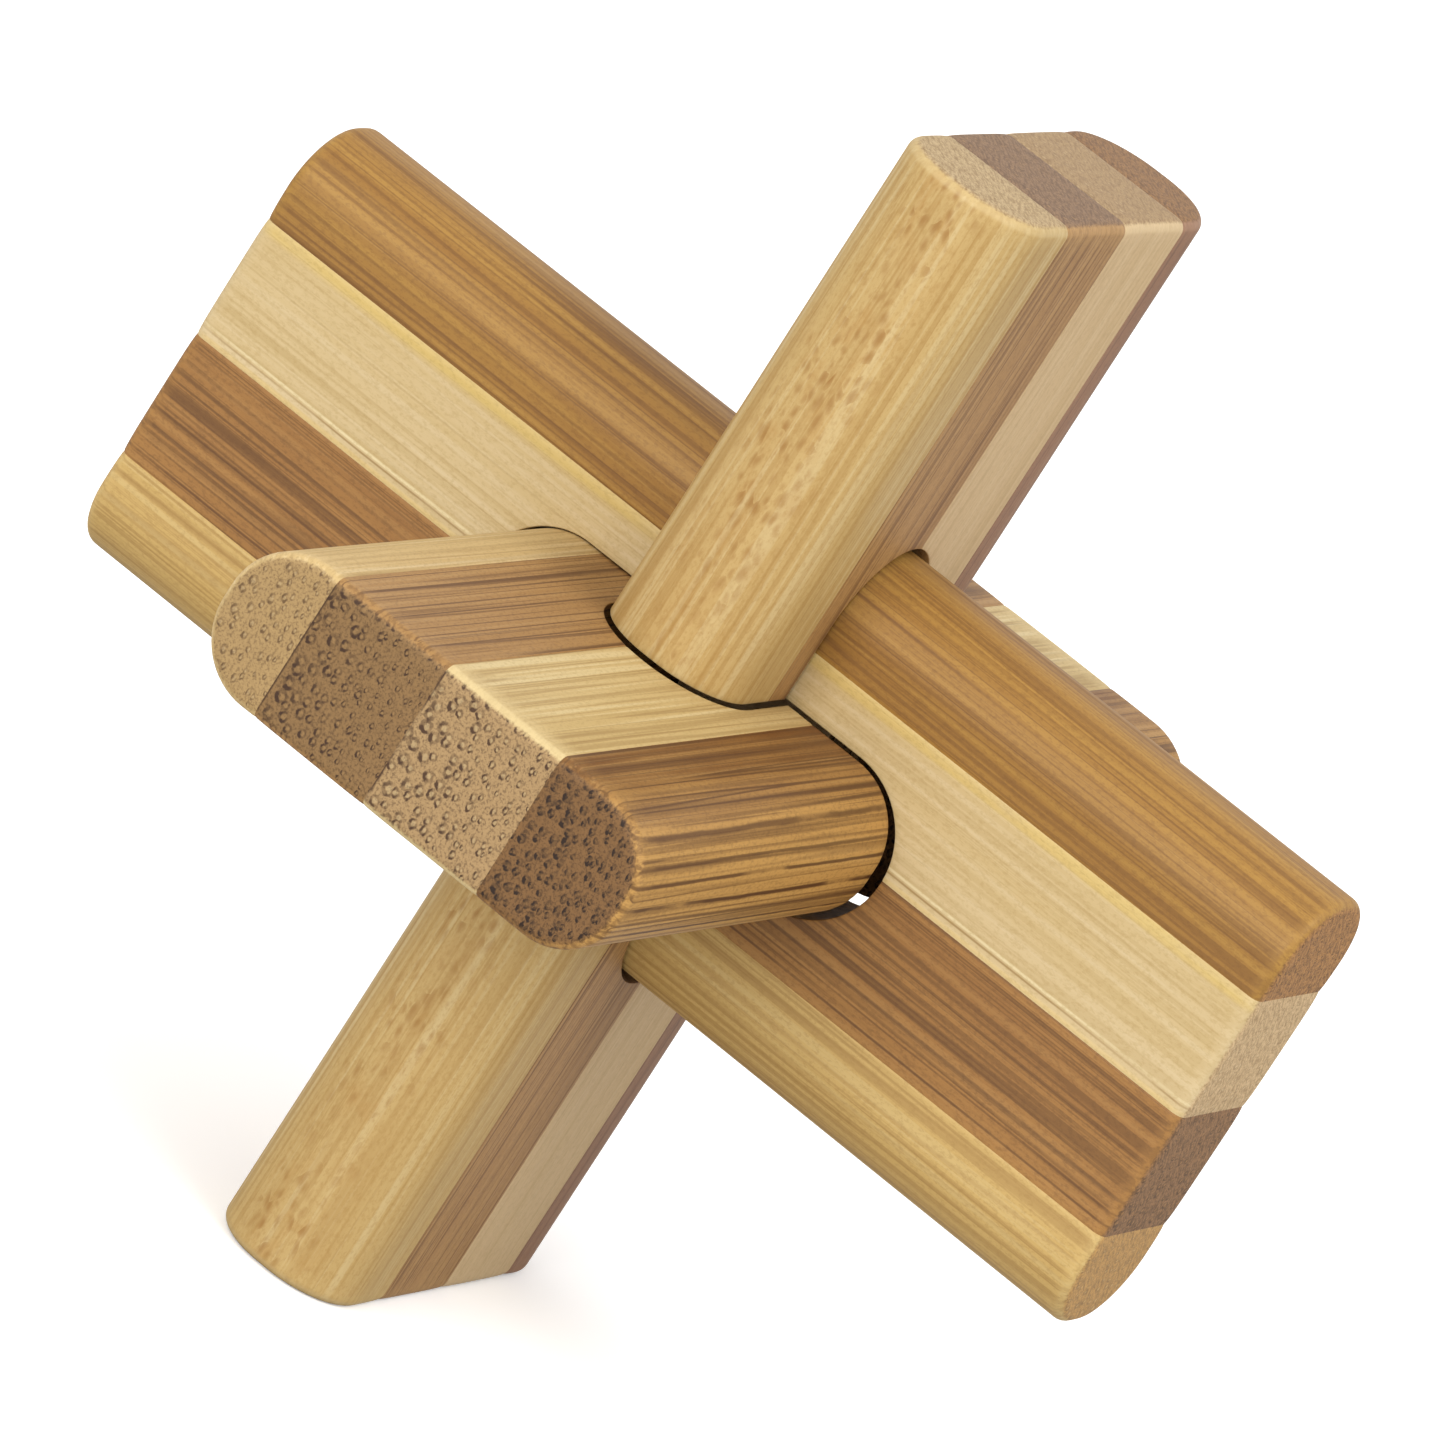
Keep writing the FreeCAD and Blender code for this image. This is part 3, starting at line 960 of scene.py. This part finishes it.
plainLook = {"rimSandingAndHighlight": 0.1, "worn": 0.25, "wornReach": 0.9}
plainStrips = {
    "caramel": {
        "pale": "#a67d3a", "deep": "#885e28", "streak": "#684321", "bright": "#bb9247",
        "endPale": "#bb8b53", "endDeep": "#9e7042", "endDot": "#5c4029",
        "toneAcross": -0.1, "darkLines": 0.45, "streaks": 0.35,
        "spacing": 0.55, "large": 0.16, "small": 0.14, "seed": 3.1,
    },
    "cream": {
        "pale": "#cab48b", "deep": "#bda36f", "streak": "#a08348", "bright": "#d3c19e",
        "endPale": "#d5b990", "endDeep": "#c1a277", "endDot": "#8a6f4a",
        "toneAcross": 0.5, "darkLines": 0.22, "streaks": 0.18, "dots": 0.5, "threads": 0.15, "seed": 7.7,
        "lines": [(0.5, 0.07, 0.7, "#8a6a3a"), (0.68, 0.1, 0.6, "#e2d3a8"),
                  (0.12, 0.2, 0.5, "#d6b976"), (6.2, 0.5, 0.55, "#d0b364")],
    },
    "brown": {
        "pale": "#a2753e", "deep": "#895f32", "streak": "#56381f", "bright": "#b1864e",
        "endPale": "#9f7851", "endDeep": "#856242", "endDot": "#4c3624",
        "toneMottle": 1.0, "darkLines": 0.5, "streaks": 0.4, "threads": 0.35, "seed": 12.4,
        "lines": [(0.55, 0.09, 0.8, "#5a3a20"), (1.2, 0.07, 0.6, "#5a3a20"), (1.9, 0.12, 0.6, "#5e4026")],
    },
    "golden": {
        "pale": "#c8a96c", "deep": "#b59352", "streak": "#94703c", "bright": "#d2bd89",
        "endPale": "#c69b5e", "endDeep": "#af864e", "endDot": "#7b603f",
        "toneAcross": -0.3, "darkLines": 0.45, "streaks": 0.3, "dots": 0.5, "seed": 15.9,
    },
}
makeStrips("plain", plainStrips, plainLook)

# key board, its opening towards +X

keyLook = {"rimSandingAndHighlight": 0.0, "wornReach": 2.4, "sanding": 0.12, "leanAcross": -0.003}
keyStrips = {
    "golden": {
        "pale": "#ccb07b", "deep": "#b69760", "streak": "#8f7140", "bright": "#dfca9f",
        "endPale": "#af9160", "endDeep": "#9d7f53", "endDot": "#5b4229",
        "darkLines": 0.3, "brightLines": 0.4, "streaks": 0.35, "worn": 0.45,
        "dots": 0.85, "spacing": 0.8, "large": 0.24, "small": 0.2, "hollow": 0.75, "seed": 21.3,
    },
    "brown": {
        "pale": "#a7804e", "deep": "#956d39", "streak": "#5c3b1e", "bright": "#b9945e",
        "endPale": "#906f45", "endDeep": "#7e603a", "endDot": "#392315",
        "darkLines": 0.5, "streaks": 0.75, "threads": 0.95, "worn": 0.25, "glueLine": 0.8,
        "dots": 0.95, "spacing": 0.72, "large": 0.31, "small": 0.14, "hollow": 0.85, "seed": 26.8,
    },
    "cream": {
        "pale": "#c9b07c", "deep": "#b69961", "streak": "#967846", "bright": "#d8c596",
        "endPale": "#b09166", "endDeep": "#9f8055", "endDot": "#432b1b",
        "darkLines": 0.5, "brightLines": 0.5, "streaks": 0.45, "threads": 0.7,
        "dots": 0.95, "spacing": 0.74, "large": 0.32, "small": 0.17, "hollow": 0.9, "seed": 31.2,
        "rimSandingAndHighlight": 0.28, "worn": 0.75, "glueLine": 0.9,
    },
    "caramel": {
        "pale": "#b68a4a", "deep": "#6e451b", "streak": "#4f2f14", "bright": "#c3995b",
        "endPale": "#856037", "endDeep": "#70502e", "endDot": "#2a1a0f",
        "toneAcross": -1.1, "darkLines": 0.4, "streaks": 0.45, "threads": 0.8,
        "dots": 1.0, "spacing": 0.6, "large": 0.24, "small": 0.21, "hollow": 0.3, "seed": 36.6,
        "worn": 0.15, "wornReach": 2.2,
        "edgeLines": [(3.1, 0.14, 0.8), (2.1, 0.1, 0.6), (1.3, 0.13, 0.9), (0.1, 0.17, 1.0),
                      (-0.7, 0.09, 0.6), (-1.5, 0.13, 0.9), (-2.5, 0.1, 0.7)],
    },
}
makeStrips("key", keyStrips, keyLook, opening=1)

# cross board, its opening towards the front

crossLook = {"dots": 0.4}
crossStrips = {
    "umber": {
        "pale": "#977156", "deep": "#825e46", "streak": "#634534", "bright": "#a98468",
        "endPale": "#9e7951", "endDeep": "#8a6642", "endDot": "#5c4333",
        "darkLines": 0.3, "streaks": 0.2, "seed": 41.5,
    },
    "cream": {
        "pale": "#caaf86", "deep": "#bda073", "streak": "#a1845a", "bright": "#d2bb93",
        "endPale": "#b0946d", "endDeep": "#9f845f", "endDot": "#816548",
        "darkLines": 0.2, "streaks": 0.12, "dots": 0.35, "threads": 0.1, "seed": 46.2,
    },
    "brown": {
        "pale": "#ad8754", "deep": "#956d40", "streak": "#6a4729", "bright": "#ba925e",
        "endPale": "#97795a", "endDeep": "#846850", "endDot": "#5c4536",
        "darkLines": 0.6, "streaks": 0.5, "seed": 52.9,
    },
    "golden": {
        "pale": "#c0a36b", "deep": "#ae8f58", "streak": "#9a7438", "bright": "#cbb789",
        "endPale": "#c4ab82", "endDeep": "#b19871", "endDot": "#80643f",
        "darkLines": 0.35, "brightLines": 0.45, "streaks": 0.12, "threads": 0.3,
        "specks": 0.85, "speck": "#8f6228", "speckSoft": "#a5793a", "wander": 0.2, "seed": 57.4,
    },
}
makeStrips("cross", crossStrips, crossLook, opening=-1)

# studio: a white floor and sky, and two soft lamps

studio = {
    "floorSize": 6.0,            # metres
    "floorColour": "#fefefe",
    "floorGlow": "#808080",
    "floorBounce": "#c4c2be",    # what the puzzle gets back from the floor
    "floorRoughness": 0.9,
    "floorSpecular": 0.1,
    "skyStrength": 1.0,
    "lamps": {
        # direction from the puzzle, distance, size, power
        "soft_front": ((-0.1, -0.95, 0.35), 0.9, 0.5, 4.0),
        "soft_top": ((0.62, -0.25, 0.75), 0.9, 0.4, 2.6),
    },
}


def makeFloor():
    half, ground = studio["floorSize"] / 2, cadBox[0].z
    corners = [(-half, -half, ground), (half, -half, ground), (half, half, ground), (-half, half, ground)]
    mesh = bpy.data.meshes.new("studio floor")
    mesh.from_pydata(corners, [], [(0, 1, 2, 3)])
    floor = bpy.data.objects.new("studio_floor", mesh)
    bpy.context.scene.collection.objects.link(floor)
    material = bpy.data.materials.new("pale floor")
    material.use_nodes = True
    tree = material.node_tree
    paint = tree.nodes["Principled BSDF"].inputs
    paint["Roughness"].default_value = studio["floorRoughness"]
    paint["Specular IOR Level"].default_value = studio["floorSpecular"]
    seen = tree.nodes.new("ShaderNodeLightPath").outputs["Is Camera Ray"]
    bounce, white = colour(studio["floorBounce"]), colour(studio["floorColour"])
    feed(tree, paint["Base Color"], blendColour(tree, seen, bounce, white))
    black, glow = colour("#000000"), colour(studio["floorGlow"])
    feed(tree, paint["Emission Color"], blendColour(tree, seen, black, glow))
    paint["Emission Strength"].default_value = 1.0
    mesh.materials.append(material)


def makeSky():
    world = bpy.data.worlds.new("white studio")
    world.use_nodes = True
    sky = world.node_tree.nodes["Background"].inputs
    sky["Color"].default_value = (1.0, 1.0, 1.0, 1.0)
    sky["Strength"].default_value = studio["skyStrength"]
    bpy.context.scene.world = world


def makeLamp(name, direction, distance, size, power):
    light = bpy.data.lights.new(name, "AREA")
    light.size = size
    light.energy = power
    lamp = bpy.data.objects.new(name, light)
    towards = Vector(direction).normalized()
    lamp.location = towards * distance
    lamp.rotation_euler = towards.to_track_quat("Z", "Y").to_euler()
    bpy.context.scene.collection.objects.link(lamp)


makeFloor()
makeSky()
for lampName, lampValues in studio["lamps"].items():
    makeLamp(lampName, *lampValues)
print("studio done")

# camera

view = {
    "azimuth": 19.1,     # degrees round from the front towards +X
    "elevation": 16.77,
    "roll": 32.84,
    "distance": 0.618,   # metres
    "lens": 340.0,
    "sensor": 36.0,
    "nearest": 0.01,
    "aim": (0.000431, 0.000168, 0.000058),
}

azimuth, elevation, roll = (math.radians(view[name]) for name in ("azimuth", "elevation", "roll"))
flat = math.cos(elevation)
back = Vector((math.sin(azimuth) * flat, -math.cos(azimuth) * flat, math.sin(elevation)))
level = (-back).cross(Vector((0, 0, 1))).normalized()
upright = level.cross(-back)
right = level * math.cos(roll) + upright * math.sin(roll)
up = upright * math.cos(roll) - level * math.sin(roll)
cameraData = bpy.data.cameras.new("camera")
cameraData.lens = view["lens"]
cameraData.sensor_width = view["sensor"]
cameraData.clip_start = view["nearest"]
camera = bpy.data.objects.new("camera", cameraData)
stand = Vector(view["aim"]) + back * view["distance"]
camera.matrix_world = Matrix.Translation(stand) @ Matrix((right, up, back)).transposed().to_4x4()
bpy.context.scene.collection.objects.link(camera)
bpy.context.scene.camera = camera
bpy.context.scene.view_settings.view_transform = "Standard"
print("camera done")

# sizes, kept for comparison
print("cad", [round(c * 1000, 3) for p in cadBox for c in p])
